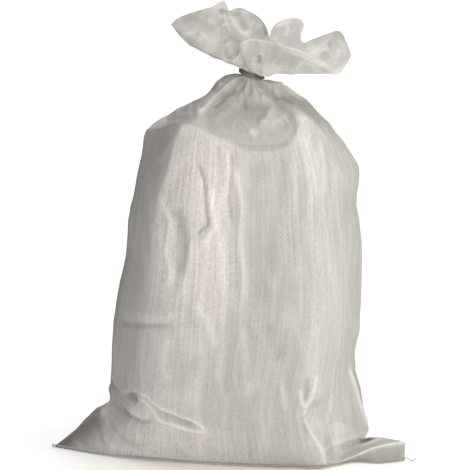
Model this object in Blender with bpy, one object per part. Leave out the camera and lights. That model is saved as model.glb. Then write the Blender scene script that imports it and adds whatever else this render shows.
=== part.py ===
"""A filled rubble bag: a woven plastic sack, its load, the tie round its neck and its bottom seam.

Metres. +Z is up, +Y points away from the front, and the origin is on the floor under the load.
"""

import functools
import math

import bmesh
import bpy
import numpy as np

# Whole bag
NECK_HEIGHT = 0.598
NECK_X = 0.018
NECK_Y = -0.006
NECK_RADIUS = 0.0165
NECK_HALF = 0.006
WALL = 0.002
GAP = 0.0005

# Plan points of the filled body at five heights: the floor, low, the belly, the chest and the shoulders
SECTION_HEIGHTS = (0.0, 0.09, 0.19, 0.43, 0.53)
LEFT_FOLD = ((-0.207, 0.000), (-0.210, 0.004), (-0.205, 0.008), (-0.166, 0.010), (-0.140, 0.010))
FRONT_LEFT = ((-0.165, -0.101), (-0.150, -0.125), (-0.128, -0.143), (-0.096, -0.135), (-0.083, -0.114))
FRONT_MIDDLE = ((-0.020, -0.127), (-0.010, -0.163), (0.000, -0.179), (0.005, -0.170), (0.007, -0.152))
FRONT_RIGHT = ((0.122, -0.146), (0.108, -0.152), (0.121, -0.154), (0.106, -0.144), (0.090, -0.125))
RIGHT_FOLD = ((0.203, -0.045), (0.197, -0.030), (0.193, -0.015), (0.189, -0.010), (0.150, -0.010))
BACK_RIGHT = ((0.125, 0.112), (0.130, 0.122), (0.134, 0.124), (0.124, 0.120), (0.100, 0.104))
BACK_MIDDLE = ((-0.020, 0.146), (-0.010, 0.160), (0.000, 0.165), (0.005, 0.161), (0.009, 0.145))
BACK_LEFT = ((-0.160, 0.110), (-0.158, 0.118), (-0.146, 0.124), (-0.112, 0.120), (-0.093, 0.105))
PLAN = (LEFT_FOLD, FRONT_LEFT, FRONT_MIDDLE, FRONT_RIGHT, RIGHT_FOLD, BACK_RIGHT, BACK_MIDDLE, BACK_LEFT)

# Height of the shoulders' edge over each plan point, and how round the shoulder is (1 is a straight slope)
RIM = (0.507, 0.530, 0.502, 0.534, 0.456, 0.474, 0.488, 0.496)
ROUND = {"right": 2.10, "back": 1.50, "left": 1.20, "front": 1.12}

# Radius of the edge between the base and each side
BASE_EDGE = {"right": 0.020, "back": 0.045, "left": 0.022, "front": 0.006}

# Gathered neck
PLEATS = 11
PLEAT_DEPTH = 0.0013

# Points of the mouth's hem, round the neck from the left along the front
MOUTH = (
    (-0.107, -0.018, 0.675),
    (-0.055, -0.044, 0.703),
    (-0.025, -0.050, 0.712),
    (-0.008, -0.068, 0.640),
    (0.030, -0.076, 0.655),
    (0.096, -0.080, 0.637),
    (0.140, -0.070, 0.613),
    (0.168, -0.030, 0.624),
    (0.152, 0.020, 0.658),
    (0.104, 0.030, 0.648),
    (0.092, 0.054, 0.678),
    (0.050, 0.054, 0.654),
    (0.012, 0.078, 0.688),
    (-0.040, 0.060, 0.676),
    (-0.076, 0.020, 0.645),
)

# How far the front right of the ruffle hangs down between the neck and the hem, and in which direction
FLAP_SAG = 0.014
FLAP_ANGLE = math.radians(-55)
CLOTH_THICKNESS = 0.0018
HEM_WIDTH = 0.012
HEM_THICKNESS = 0.0032

# Load
LOAD_DOME = 0.45

# Tie
TIE_TURNS = 3
TIE_CORD = 0.0026
TIE_SLOPE = 0.34

# Bottom seam, which runs along the floor from the left corner of the sack to the right one
SEAM_LEFT = (-0.300, -0.051)
SEAM_FRONT_LEFT = (-0.170, -0.110)
SEAM_FRONT_RIGHT = (0.132, -0.153)
SEAM_BEND = (0.178, -0.120)
SEAM_RIGHT = (0.259, -0.116)
SEAM_HEIGHT = 0.009
SEAM_THICKNESS = 0.004
THREAD = 0.0014
THREAD_TAIL = 0.020

# Corners of the sack that stick out beside the load
EAR_THICKNESS = 0.004
LEFT_EAR_TOP = (-0.196, -0.030, 0.070)
LEFT_EAR_SHOULDER = (-0.232, -0.050, 0.055)
RIGHT_EAR_TOP = (0.257, -0.112, 0.032)
RIGHT_EAR_BACK = (0.222, -0.075, 0.024)
RIGHT_EAR_ROOT = (0.185, -0.045, 0.012)

COLUMNS = 66
LOAD_COLUMNS = 44


def clear_scene():
    for item in list(bpy.data.objects):
        bpy.data.objects.remove(item, do_unlink=True)


def smooth(value):
    value = min(max(value, 0.0), 1.0)
    return value * value * (3 - 2 * value)


def mix(start, end, share):
    return start + (end - start) * share


def by_side(sides, angle):
    """A dimension given for four sides, blended for any direction round the bag."""
    across = math.cos(angle)
    along = math.sin(angle)
    side = sides["right"] if across > 0 else sides["left"]
    depth = sides["back"] if along > 0 else sides["front"]
    return side * across**2 + depth * along**2


def through(stations, points, at):
    """A smooth curve through points at the given stations."""
    at = min(max(at, stations[0]), stations[-1])
    index = 0
    while index < len(stations) - 2 and at > stations[index + 1]:
        index += 1
    gap = stations[index + 1] - stations[index]
    before = max(index - 1, 0)
    after = min(index + 2, len(stations) - 1)
    leave = (points[index + 1] - points[before]) / (stations[index + 1] - stations[before])
    arrive = (points[after] - points[index]) / (stations[after] - stations[index])
    t = (at - stations[index]) / gap
    return (
        (2 * t**3 - 3 * t**2 + 1) * points[index]
        + (t**3 - 2 * t**2 + t) * gap * leave
        + (3 * t**2 - 2 * t**3) * points[index + 1]
        + (t**3 - t**2) * gap * arrive
    )


@functools.lru_cache(maxsize=None)
def section(height):
    """The body's horizontal section at one height, as directions and distances from the middle."""
    corners = [through(SECTION_HEIGHTS, np.array(heights), height) for heights in PLAN]
    count = len(corners)
    points = []
    for index in range(count):
        start, end = corners[index], corners[(index + 1) % count]
        leave = (end - corners[index - 1]) / 2
        arrive = (corners[(index + 2) % count] - start) / 2
        span = np.linalg.norm(end - start) * 0.85
        leave = leave / np.linalg.norm(leave) * span
        arrive = arrive / np.linalg.norm(arrive) * span
        for step in range(24):
            t = step / 24
            points.append(
                (2 * t**3 - 3 * t**2 + 1) * start
                + (t**3 - 2 * t**2 + t) * leave
                + (3 * t**2 - 2 * t**3) * end
                + (t**3 - t**2) * arrive
            )
    points = np.array(points)
    turns = np.arctan2(points[:, 1], points[:, 0])
    order = np.argsort(turns)
    return turns[order], np.linalg.norm(points, axis=1)[order]


def distance_out(angle, height):
    turns, distances = section(round(height, 4))
    return float(np.interp(angle, turns, distances, period=2 * math.pi))


def outline(angle, height, inset):
    """The body's horizontal section in one direction, moved in by the inset."""
    reach = distance_out(angle, height)
    slope = (distance_out(angle + 0.05, height) - distance_out(angle - 0.05, height)) / 0.1
    reach -= inset * math.hypot(1, slope / reach)
    return reach * math.cos(angle), reach * math.sin(angle)


def rim_height(angle):
    """Where the side turns over into the shoulder."""
    turns = [math.atan2(heights[-1][1], heights[-1][0]) for heights in PLAN]
    return float(np.interp(angle, turns, RIM, period=2 * math.pi))


def base_rows(angle, inset):
    """The flat base and the rounded edge round it."""
    edge = by_side(BASE_EDGE, angle)
    x, y = outline(angle, inset + edge, inset)
    reach = math.hypot(x, y)
    rows = []
    for scale in (0.35, 0.7):
        rows.append((x * scale, y * scale, inset))
    for step in range(3):
        lift = step * math.pi / 6
        scale = (reach - edge * (1 - math.sin(lift))) / reach
        rows.append((x * scale, y * scale, inset + edge * (1 - math.cos(lift))))
    return rows


def side_rows(angle, inset):
    """The sides, from the base edge up to the shoulder."""
    edge = by_side(BASE_EDGE, angle)
    top = rim_height(angle)
    rows = []
    for step in range(10):
        height = mix(inset + edge, top, step / 9)
        x, y = outline(angle, height, inset)
        rows.append((x, y, height))
    return rows


def neck_level(angle, offset):
    """A height at the gathered neck, which is lower on the right like the tie round it."""
    return NECK_HEIGHT + offset - TIE_SLOPE * NECK_RADIUS * math.cos(angle)


def pleated(radius, angle, share):
    """The neck's radius with its pleats, which fade out down the shoulder."""
    return radius + PLEAT_DEPTH * math.cos(PLEATS * angle) * share


def shoulder_rows(angle, inset, lift):
    """The shoulder, from its edge up to the neck. Lift is the share of the full height that it takes."""
    foot = rim_height(angle)
    x, y = outline(angle, foot, inset)
    power = by_side(ROUND, angle)
    rise = neck_level(angle, -NECK_HALF) - foot
    radius = NECK_RADIUS - inset
    rows = []
    for step in range(1, 10):
        out = 1 - smooth(step / 9) * 0.35 - step / 9 * 0.65
        bump = 1 + 0.03 * math.sin(math.pi * out) * math.cos(PLEATS * angle)
        at_neck = pleated(radius, angle, 1 - out)
        neck_x = NECK_X + at_neck * math.cos(angle)
        neck_y = NECK_Y + at_neck * math.sin(angle)
        height = rise * (1 - out**power) * lift - inset * 0.8 * step / 9
        rows.append((mix(neck_x, x, out * bump), mix(neck_y, y, out * bump), foot + height))
    return rows


def mouth_edge(angle):
    """How far from the neck and how high the mouth's hem lies in one direction."""
    turns = [math.atan2(y - NECK_Y, x - NECK_X) for x, y, z in MOUTH]
    index = 0
    while (angle - turns[index]) % math.tau >= (turns[(index + 1) % len(turns)] - turns[index]) % math.tau:
        index += 1
    after = (index + 1) % len(turns)
    share = smooth((angle - turns[index]) % math.tau / ((turns[after] - turns[index]) % math.tau))
    outs = [math.hypot(MOUTH[k][0] - NECK_X, MOUTH[k][1] - NECK_Y) for k in (index, after)]
    return mix(outs[0], outs[1], share), mix(MOUTH[index][2], MOUTH[after][2], share)


def ruffle_point(angle, share):
    """A point of the cloth above the neck; share is 0 at the neck and 1 at the hem."""
    out, top = mouth_edge(angle)
    start = pleated(NECK_RADIUS, angle, 1)
    spread = mix(start, out, share**0.9)
    foot = neck_level(angle, NECK_HALF)
    sag = FLAP_SAG * max(math.cos(angle - FLAP_ANGLE), 0) ** 3 * math.sin(math.pi * share) ** 2
    height = foot + (top - foot) * share**1.3 - sag
    return np.array(
        (NECK_X + spread * math.cos(angle), NECK_Y + spread * math.sin(angle), height)
    )


def ruffle_normal(angle, share):
    """The direction from the outside of the ruffle to its inside."""
    step = 0.01
    around = ruffle_point(angle + step, share) - ruffle_point(angle - step, share)
    upward = ruffle_point(angle, share + step) - ruffle_point(angle, max(share - step, 0))
    inward = np.cross(upward, around)
    return inward / np.linalg.norm(inward)


def ruffle_thickness(share):
    hem_start = 1 - HEM_WIDTH / 0.12
    return HEM_THICKNESS if share > hem_start else CLOTH_THICKNESS


def ruffle_rows(angle):
    """Up the outside of the ruffle, over the hem, and down its inside to the gathered neck."""
    shares = (0.0, 0.06, 0.14, 0.26, 0.40, 0.56, 0.72, 0.88, 0.92, 1.0)
    outside = [ruffle_point(angle, share) for share in shares]
    inside = [
        ruffle_point(angle, share) + ruffle_normal(angle, share) * ruffle_thickness(share)
        for share in shares[:2:-1]
    ]
    mouth = NECK_HEIGHT + 0.022
    throat = [
        (NECK_X + reach * math.cos(angle), NECK_Y + reach * math.sin(angle), mouth - depth)
        for reach, depth in ((0.012, 0.0), (0.006, 0.003))
    ]
    return outside + inside + throat


def closed_grid(columns, first, last):
    """A closed mesh from columns of points with the same number of rows, and a point at each end."""
    count = len(columns)
    depth = len(columns[0])
    mesh = bmesh.new()
    grid = [[mesh.verts.new(point) for point in column] for column in columns]
    start = mesh.verts.new(first)
    end = mesh.verts.new(last)
    for index in range(count):
        here = grid[index]
        there = grid[(index + 1) % count]
        mesh.faces.new((start, there[0], here[0]))
        mesh.faces.new((end, here[-1], there[-1]))
        for row in range(depth - 1):
            mesh.faces.new((here[row], there[row], there[row + 1], here[row + 1]))
    bmesh.ops.recalc_face_normals(mesh, faces=mesh.faces)
    bmesh.ops.triangulate(mesh, faces=mesh.faces)
    return mesh


def sheet_solid(corners, faces, thickness):
    """A thin solid from flat corners and faces, thickened evenly to both sides."""
    mesh = bmesh.new()
    verts = [mesh.verts.new(corner) for corner in corners]
    for face in faces:
        mesh.faces.new([verts[index] for index in face])
    bmesh.ops.recalc_face_normals(mesh, faces=mesh.faces)
    mesh.normal_update()
    offsets = {vert: vert.normal * thickness / 2 for vert in mesh.verts}
    solid = bmesh.new()
    front = [solid.verts.new(vert.co + offsets[vert]) for vert in verts]
    back = [solid.verts.new(vert.co - offsets[vert]) for vert in verts]
    for face in faces:
        solid.faces.new([front[index] for index in face])
        solid.faces.new([back[index] for index in reversed(face)])
    edges = {}
    for face in faces:
        for start, end in zip(face, face[1:] + face[:1]):
            edges[frozenset((start, end))] = edges.get(frozenset((start, end)), []) + [(start, end)]
    for uses in edges.values():
        if len(uses) == 1:
            start, end = uses[0]
            solid.faces.new((front[start], back[start], back[end], front[end]))
    mesh.free()
    bmesh.ops.recalc_face_normals(solid, faces=solid.faces)
    bmesh.ops.triangulate(solid, faces=solid.faces)
    return solid


def tube(points, radius, sides):
    """A round cord along a path, with flat ends."""
    points = [np.array(point) for point in points]
    mesh = bmesh.new()
    rings = []
    for index, point in enumerate(points):
        ahead = points[min(index + 1, len(points) - 1)] - points[max(index - 1, 0)]
        ahead = ahead / np.linalg.norm(ahead)
        side = np.cross(ahead, (0, 0, 1))
        side = side / np.linalg.norm(side)
        over = np.cross(side, ahead)
        turns = [2 * math.pi * step / sides for step in range(sides)]
        rings.append(
            [
                mesh.verts.new(point + radius * (side * math.cos(a) + over * math.sin(a)))
                for a in turns
            ]
        )
    for here, there in zip(rings, rings[1:]):
        for index in range(sides):
            after = (index + 1) % sides
            mesh.faces.new((here[index], here[after], there[after], there[index]))
    mesh.faces.new(rings[0])
    mesh.faces.new(rings[-1])
    bmesh.ops.recalc_face_normals(mesh, faces=mesh.faces)
    bmesh.ops.triangulate(mesh, faces=mesh.faces)
    return mesh


def material(name, color, roughness):
    made = bpy.data.materials.new(name)
    made.use_nodes = True
    shader = made.node_tree.nodes["Principled BSDF"]
    shader.inputs["Base Color"].default_value = (*color, 1)
    shader.inputs["Roughness"].default_value = roughness
    return made


def add_object(name, mesh, surface=None):
    data = bpy.data.meshes.new(name)
    mesh.to_mesh(data)
    mesh.free()
    made = bpy.data.objects.new(name, data)
    bpy.context.collection.objects.link(made)
    if surface:
        data.materials.append(surface)
    return made


def helper(name, mesh):
    made = add_object(name, mesh)
    made.hide_render = True
    made.display_type = "WIRE"
    return made


def combine(body, other, operation):
    change = body.modifiers.new(other.name, "BOOLEAN")
    change.operation = operation
    change.solver = "EXACT"
    change.object = other


def seam_path(steps):
    """The seam's line on the floor, with a soft bend at each named point."""
    named = [SEAM_LEFT, SEAM_FRONT_LEFT, SEAM_FRONT_RIGHT, SEAM_BEND, SEAM_RIGHT]
    named = [np.array(point) for point in named]
    path = []
    for index in range(len(named) - 1):
        start, end = named[index], named[index + 1]
        leave = (end - named[max(index - 1, 0)]) / 2
        arrive = (named[min(index + 2, len(named) - 1)] - start) / 2
        span = np.linalg.norm(end - start)
        leave = leave / np.linalg.norm(leave) * span * 0.8
        arrive = arrive / np.linalg.norm(arrive) * span * 0.8
        for step in range(steps):
            t = step / steps
            path.append(
                (2 * t**3 - 3 * t**2 + 1) * start
                + (t**3 - 2 * t**2 + t) * leave
                + (3 * t**2 - 2 * t**3) * end
                + (t**3 - t**2) * arrive
            )
    path.append(named[-1])
    return path


def front_of(path, distance):
    """The seam's line moved towards the front."""
    moved = []
    for index, point in enumerate(path):
        ahead = path[min(index + 1, len(path) - 1)] - path[max(index - 1, 0)]
        ahead = ahead / np.linalg.norm(ahead)
        moved.append(point + distance * np.array((ahead[1], -ahead[0])))
    return moved


def build_seam_margin():
    """The strip of doubled cloth below the stitches."""
    path = seam_path(9)
    corners = [(x, y, 0.0) for x, y in path] + [(x, y, SEAM_HEIGHT) for x, y in path]
    count = len(path)
    faces = [[i, i + 1, count + i + 1, count + i] for i in range(count - 1)]
    return sheet_solid(corners, faces, SEAM_THICKNESS)


def build_left_ear():
    """The plain corner: a triangle of doubled cloth that leans back against the load."""
    tip = (SEAM_LEFT[0] + 0.002, SEAM_LEFT[1], SEAM_HEIGHT)
    foot = (SEAM_FRONT_LEFT[0], SEAM_FRONT_LEFT[1] + 0.002, SEAM_HEIGHT)
    corners = [tip, foot, LEFT_EAR_TOP, LEFT_EAR_SHOULDER]
    return sheet_solid(corners, [[0, 1, 2, 3]], EAR_THICKNESS)


def build_right_ear():
    """The bent corner: a standing strip, a ridge, and a flap that falls back to the load."""
    start = (SEAM_FRONT_RIGHT[0] - 0.01, SEAM_FRONT_RIGHT[1] + 0.012, SEAM_HEIGHT)
    bend = (SEAM_BEND[0], SEAM_BEND[1], SEAM_HEIGHT)
    end = (SEAM_RIGHT[0] - 0.002, SEAM_RIGHT[1], SEAM_HEIGHT)
    crest = (0.178, -0.122, 0.020)
    corners = [start, bend, end, RIGHT_EAR_TOP, crest, RIGHT_EAR_BACK, RIGHT_EAR_ROOT]
    faces = [[0, 1, 4], [1, 2, 3, 4], [4, 3, 5], [0, 4, 6], [4, 5, 6]]
    return sheet_solid(corners, faces, EAR_THICKNESS)


def directions(count):
    return [2 * math.pi * index / count for index in range(count)]


def build_sack(surface):
    columns = [
        base_rows(a, 0) + side_rows(a, 0) + shoulder_rows(a, 0, 1) + ruffle_rows(a)
        for a in directions(COLUMNS)
    ]
    throat = (NECK_X, NECK_Y, NECK_HEIGHT + 0.017)
    sack = add_object("sack", closed_grid(columns, (0, 0, 0), throat), surface)
    for name, mesh in (
        ("seam_margin", build_seam_margin()),
        ("left_ear", build_left_ear()),
        ("right_ear", build_right_ear()),
    ):
        combine(sack, helper(name, mesh), "UNION")
    combine(sack, helper("cavity", build_cavity()), "DIFFERENCE")
    return sack


def build_cavity():
    """The room inside the sack, which stays open through the gathered neck."""
    columns = []
    for angle in directions(LOAD_COLUMNS):
        rows = base_rows(angle, WALL) + side_rows(angle, WALL) + shoulder_rows(angle, WALL, 1)[:-1]
        for reach, height in ((0.004, NECK_HEIGHT + 0.004), (0.004, NECK_HEIGHT + 0.03)):
            rows.append((NECK_X + reach * math.cos(angle), NECK_Y + reach * math.sin(angle), height))
        columns.append(rows)
    return closed_grid(columns, (0, 0, WALL), (NECK_X, NECK_Y, NECK_HEIGHT + 0.031))


def build_load(surface):
    """The heaped load, as one plain body that fills the sack up to its shoulders."""
    inset = WALL + GAP
    columns = [
        base_rows(a, inset) + side_rows(a, inset) + shoulder_rows(a, inset, LOAD_DOME)[:-1]
        for a in directions(LOAD_COLUMNS)
    ]
    top = mix(rim_height(math.pi / 2), NECK_HEIGHT, LOAD_DOME) - 0.004
    return add_object("rubble_fill", closed_grid(columns, (0, 0, inset), (NECK_X, NECK_Y, top)), surface)


def build_tie(surface):
    """Turns of twine pulled tight round the neck, lower on the right."""
    inner = NECK_RADIUS + PLEAT_DEPTH + GAP
    band = TIE_CORD * TIE_TURNS
    ring = []
    for step in range(TIE_TURNS * 5):
        height = band * step / (TIE_TURNS * 5 - 1) - band / 2
        bulge = abs(math.sin(math.pi * TIE_TURNS * step / (TIE_TURNS * 5 - 1)))
        ring.append((inner + TIE_CORD * (0.45 + 0.5 * bulge), height))
    ring = [(inner, -band / 2)] + ring + [(inner, band / 2)]
    mesh = bmesh.new()
    loops = []
    for angle in directions(40):
        loops.append(
            [
                mesh.verts.new(
                    (
                        NECK_X + reach * math.cos(angle),
                        NECK_Y + reach * math.sin(angle),
                        neck_level(angle, height),
                    )
                )
                for reach, height in ring
            ]
        )
    for here, there in zip(loops, loops[1:] + loops[:1]):
        for index in range(len(ring)):
            after = (index + 1) % len(ring)
            mesh.faces.new((here[index], there[index], there[after], here[after]))
    bmesh.ops.recalc_face_normals(mesh, faces=mesh.faces)
    bmesh.ops.triangulate(mesh, faces=mesh.faces)
    return add_object("neck_tie", mesh, surface)


def build_seam_thread(surface):
    """The thread that closes the bottom, with a short tail at each corner."""
    path = front_of(seam_path(9), SEAM_THICKNESS / 2 + THREAD / 2 + GAP)
    height = SEAM_HEIGHT * 0.55
    points = [(x, y, height) for x, y in path]
    left, right = points[0], points[-1]
    tail = THREAD_TAIL
    start = [(left[0] - tail * 0.5, left[1] - 0.002, height + 0.005), (left[0] - tail * 0.3, left[1], height)]
    end = [(right[0] + tail * 0.5, right[1], height - 0.002), (right[0] + tail, right[1], height + 0.002)]
    return add_object("seam_thread", tube(start + points + end, THREAD / 2, 6), surface)


def main():
    clear_scene()
    build_sack(material("woven_plastic", (0.72, 0.71, 0.68), 0.42))
    build_load(material("rubble", (0.42, 0.39, 0.35), 0.95))
    build_tie(material("twine", (0.30, 0.24, 0.14), 0.85))
    build_seam_thread(material("sewing_thread", (0.74, 0.73, 0.70), 0.7))


main()
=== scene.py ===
"""A tied bag of rubble on a pale studio floor: cloth, tie, stitches, materials, light and camera. Metres."""

import math

import bpy
import numpy as np
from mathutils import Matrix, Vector, noise


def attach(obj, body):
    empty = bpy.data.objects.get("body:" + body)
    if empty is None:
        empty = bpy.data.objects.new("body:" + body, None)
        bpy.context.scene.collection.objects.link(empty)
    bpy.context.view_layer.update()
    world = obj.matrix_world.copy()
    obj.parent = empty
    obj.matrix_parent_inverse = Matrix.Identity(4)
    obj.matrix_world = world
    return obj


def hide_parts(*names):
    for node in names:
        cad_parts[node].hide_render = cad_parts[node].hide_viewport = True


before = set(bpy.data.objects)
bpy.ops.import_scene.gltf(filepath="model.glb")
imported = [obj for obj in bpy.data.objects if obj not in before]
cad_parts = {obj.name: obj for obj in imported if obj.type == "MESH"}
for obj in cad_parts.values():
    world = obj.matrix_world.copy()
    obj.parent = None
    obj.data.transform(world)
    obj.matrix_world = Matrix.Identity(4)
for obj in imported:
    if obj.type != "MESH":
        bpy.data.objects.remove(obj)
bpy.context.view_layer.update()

# The cloth's columns run round the sack from the left fold, by the front, to the right fold (column HALF) and
# back; its rows run up from the bottom seam to the hem
GIRTH = 1.2
WIDE = GIRTH / 2
COLUMNS = 334
HALF = 196
AROUND = np.concatenate(
    [np.linspace(0, WIDE, HALF + 1)[:-1], np.linspace(WIDE, GIRTH, COLUMNS - HALF + 1)[:-1]]
)
DISTANCE = np.minimum(AROUND, GIRTH - AROUND)
SHARE = DISTANCE / WIDE
ON_FRONT = (np.arange(COLUMNS) <= HALF) * 1.0
FOOT_ROWS = 48
BODY_ROWS = 126
SHOULDER_ROWS = 56
NECK_ROWS = 4
RUFFLE_ROWS = 62
ROWS = FOOT_ROWS + BODY_ROWS + SHOULDER_ROWS + NECK_ROWS + RUFFLE_ROWS
RIM_ROW = FOOT_ROWS + BODY_ROWS
NECK_ROW = RIM_ROW + SHOULDER_ROWS
RUFFLE_ROW = NECK_ROW + NECK_ROWS

# Rows smoothed where the foot joins the body, and how often; rows of the lower corners, whose back takes the
# front's painted light and shade; points on a finely divided curve; how far above the floor the cloth stays
JOIN_ROWS = slice(36, 61)
JOIN_PASSES = 14
EAR_ROWS = 24
DENSE = 400
CLEARANCE = 0.0005

NECK = np.array((0.018, -0.006, 0.598))
NECK_RADIUS = 0.0155
NECK_HALF = 0.006
PLEAT = 0.0016
TIE_SLOPE = 0.34
TIE_TURNS = 3
TIE_CORD = 0.0026
STRAND_RADIUS = 0.00078
STRAND_OFFSET = 0.00062
STRAND_PITCH = 0.0058
STITCH = 0.006
THREAD_RADIUS = 0.0008
TAPE = 0.0033

# Heights where the body's left and right edges are known, and how far out they are there
LEFT_HEIGHTS = (
    0, 0.059, 0.069, 0.076, 0.082, 0.088, 0.1, 0.15, 0.19, 0.23, 0.26, 0.29, 0.31, 0.36, 0.39, 0.437, 0.466,
    0.495, 0.509, 0.53,
)
LEFT_EDGE = (
    0.207, 0.21, 0.211, 0.2145, 0.215, 0.2105, 0.21, 0.209, 0.205, 0.2, 0.195, 0.187, 0.182, 0.18, 0.173,
    0.165, 0.158, 0.153, 0.148, 0.14,
)
RIGHT_HEIGHTS = (
    0, 0.008, 0.012, 0.017, 0.023, 0.032, 0.042, 0.071, 0.099, 0.126, 0.148, 0.181, 0.231, 0.297, 0.33,
    0.369, 0.389, 0.408, 0.428, 0.447, 0.467, 0.49, 0.53,
)
RIGHT_EDGE = (
    0.199, 0.1975, 0.1968, 0.206, 0.2078, 0.2072, 0.205, 0.2005, 0.195, 0.188, 0.186, 0.192, 0.194, 0.194,
    0.194, 0.19, 0.185, 0.186, 0.189, 0.189, 0.182, 0.17, 0.15,
)

# Height of the load's rim and roundness of the shoulder, from the left fold to the right one
FRONT_AT = (0, 0.12, 0.285, 0.325, 0.38, 0.43, 0.48, 0.53, 0.6, 0.65, 0.69, 0.73, 0.785, 0.87, 1)
RIM_FRONT = (
    0.507, 0.515, 0.534, 0.533, 0.526, 0.518, 0.511, 0.5075, 0.5075, 0.511, 0.52, 0.538, 0.536, 0.505, 0.456,
)
ROUND_FRONT = (1.2, 1.15, 1.1, 1.1, 1.1, 1.1, 1.1, 1.1, 1.12, 1.15, 1.2, 1.25, 1.35, 1.6, 1.85)
BACK_AT = (0, 0.12, 0.31, 0.5, 0.69, 0.86, 1)
RIM_BACK = (0.507, 0.5, 0.49, 0.488, 0.48, 0.465, 0.456)
ROUND_BACK = (1.2, 1.2, 1.25, 1.3, 1.35, 1.6, 1.85)

# The left shoulder's profile: how far out, and how far up from the rim to the neck
NECKED_OUT = (0, 0.17, 0.24, 0.28, 0.32, 0.385, 0.51, 0.69, 0.85, 1)
NECKED_UP = (1, 0.955, 0.865, 0.78, 0.69, 0.61, 0.52, 0.345, 0.172, 0)

# The bottom seam on the floor, by distance from the left corner
SEAM_AT = (0, 0.04, 0.09, 0.17, 0.25, 0.33, 0.4, 0.44, 0.465, 0.495, 0.545, 0.6)
SEAM = (
    (-0.3, -0.051), (-0.264, -0.07), (-0.216, -0.092), (-0.14, -0.114), (-0.061, -0.131), (0.018, -0.143),
    (0.087, -0.15), (0.127, -0.1515), (0.15, -0.138), (0.176, -0.122), (0.217, -0.129), (0.2585, -0.117),
)

# Where the foot's rows run at the two side folds, and the ridge, flap and valley that lead to the right one
LEFT_FOLD = np.array(((-0.266, -0.055, 0.029), (-0.2295, -0.048, 0.0645), (-0.213, -0.026, 0.0675)))
RIGHT_FOLD = np.array(((0.2585, -0.1185, 0.0325), (0.2235, -0.09, 0.031), (0.1975, -0.06, 0.011)))
CORNER_AT = (0.44, 0.5, 0.55, 0.6)
CORNER_LINES = (
    ((0.13, -0.15, 0.002), (0.173, -0.13, 0.01), (0.214, -0.123, 0.026)),
    ((0.131, -0.149, 0.004), (0.163, -0.12, 0.01), (0.19, -0.098, 0.018)),
    ((0.133, -0.148, 0.012), (0.158, -0.112, 0.012), (0.179, -0.08, 0.01)),
)

# The loose ends of the seam's thread
LEFT_TAIL = ((-0.3016, -0.051, 0.0062), (-0.3022, -0.051, 0.0032), (-0.301, -0.052, 0.0012))
RIGHT_TAIL = (
    (0.2615, -0.119, 0.0066), (0.2654, -0.119, 0.0041), (0.2702, -0.119, 0.0013), (0.2735, -0.119, 0.0026),
    (0.2765, -0.119, 0.0062),
)

# The mouth's hem, once round from the left fold along the front to the right fold and back: its place in
# millimetres, then the tone of its edge and of the band under it, from dark (-1) to pale (1): painted shade
# along the edges and painted highlights on the hem, whose band is also the cloth's real double layer
MOUTH_FRONT = (
    (-107, -20, 675, -0.6, -0.3), (-97, -30, 685, -0.5, -0.2), (-77, -38, 694, -0.5, -0.1),
    (-55, -42, 701, -0.4, 0), (-40, -44, 706, 0, 0.2), (-32, -46, 712, 0.5, 0.5), (-25, -48, 714, 0.6, 0.5),
    (-19, -48, 704, 0.8, 0.5), (-13, -46, 690, 0.8, 0.5), (-2, -44, 673, 0.6, 0.4),
    (10, -46, 658, 0.5, 0.3), (0, -56, 655, -0.2, -0.2), (-14, -60, 660, -0.2, -0.3),
    (-23, -62, 661, 0.4, 0), (-26, -66, 646, 0.7, 0), (-22, -70, 632, 0.8, 0), (-11, -73, 627, 0.8, 0),
    (-2, -73, 637, 0.8, 0.1), (0, -72, 650, 0.9, 0.1), (15, -72, 657, 1, 0), (46, -78, 654, 1, 0),
    (75, -82, 646, 1, 0.2), (96, -82, 639, 1, 0.6), (118, -78, 628, 1, 0.9), (140, -72, 615, 1, 0.9),
    (148, -66, 604, 0.6, 0.5), (162, -48, 616, 0, 0), (172, -25, 629, -0.1, 0),
)
MOUTH_BACK = (
    (168, -2, 642, -0.3, 0), (153, 21, 662, -0.5, -0.1), (149, 24, 661, -0.6, -0.1),
    (123, 28, 652, -0.6, -0.1), (98, 26, 644, -0.4, 0), (96, 36, 653, 0.4, 0.1), (101, 48, 671, 0.6, 0.2),
    (96, 56, 678, 0.8, 0.3), (70, 60, 678, 0.8, 0.3), (53, 56, 667, 0.4, 0.1), (48, 46, 649, -0.2, 0),
    (41, 64, 666, -0.9, -0.3), (30, 74, 680, -0.8, -0.2), (13, 80, 689, -0.6, -0.1),
    (2, 80, 694, -0.6, -0.1), (-14, 74, 691, -0.5, -0.1), (-40, 60, 676, -0.3, 0), (-59, 40, 655, -0.3, 0),
    (-68, 12, 639, -0.5, -0.3), (-73, -8, 639, -0.7, -0.4), (-84, -18, 648, -0.8, -0.4),
    (-95, -22, 659, -0.8, -0.4),
)

# How the cloth above the tie swells, by distance from the left fold: below 0 it hangs over the tie
SWELL_AT = (0, 0.2, 0.28, 0.34, 0.4, 0.46, 0.52, 0.6)
SWELL_FRONT = (0.3, 0.35, 0.35, 0.1, -0.5, -0.12, 0, 0.1)
SWELL_BACK = (0.3, 0.35, 0.35, 0.35, 0.35, 0.35, 0.3, 0.1)

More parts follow.
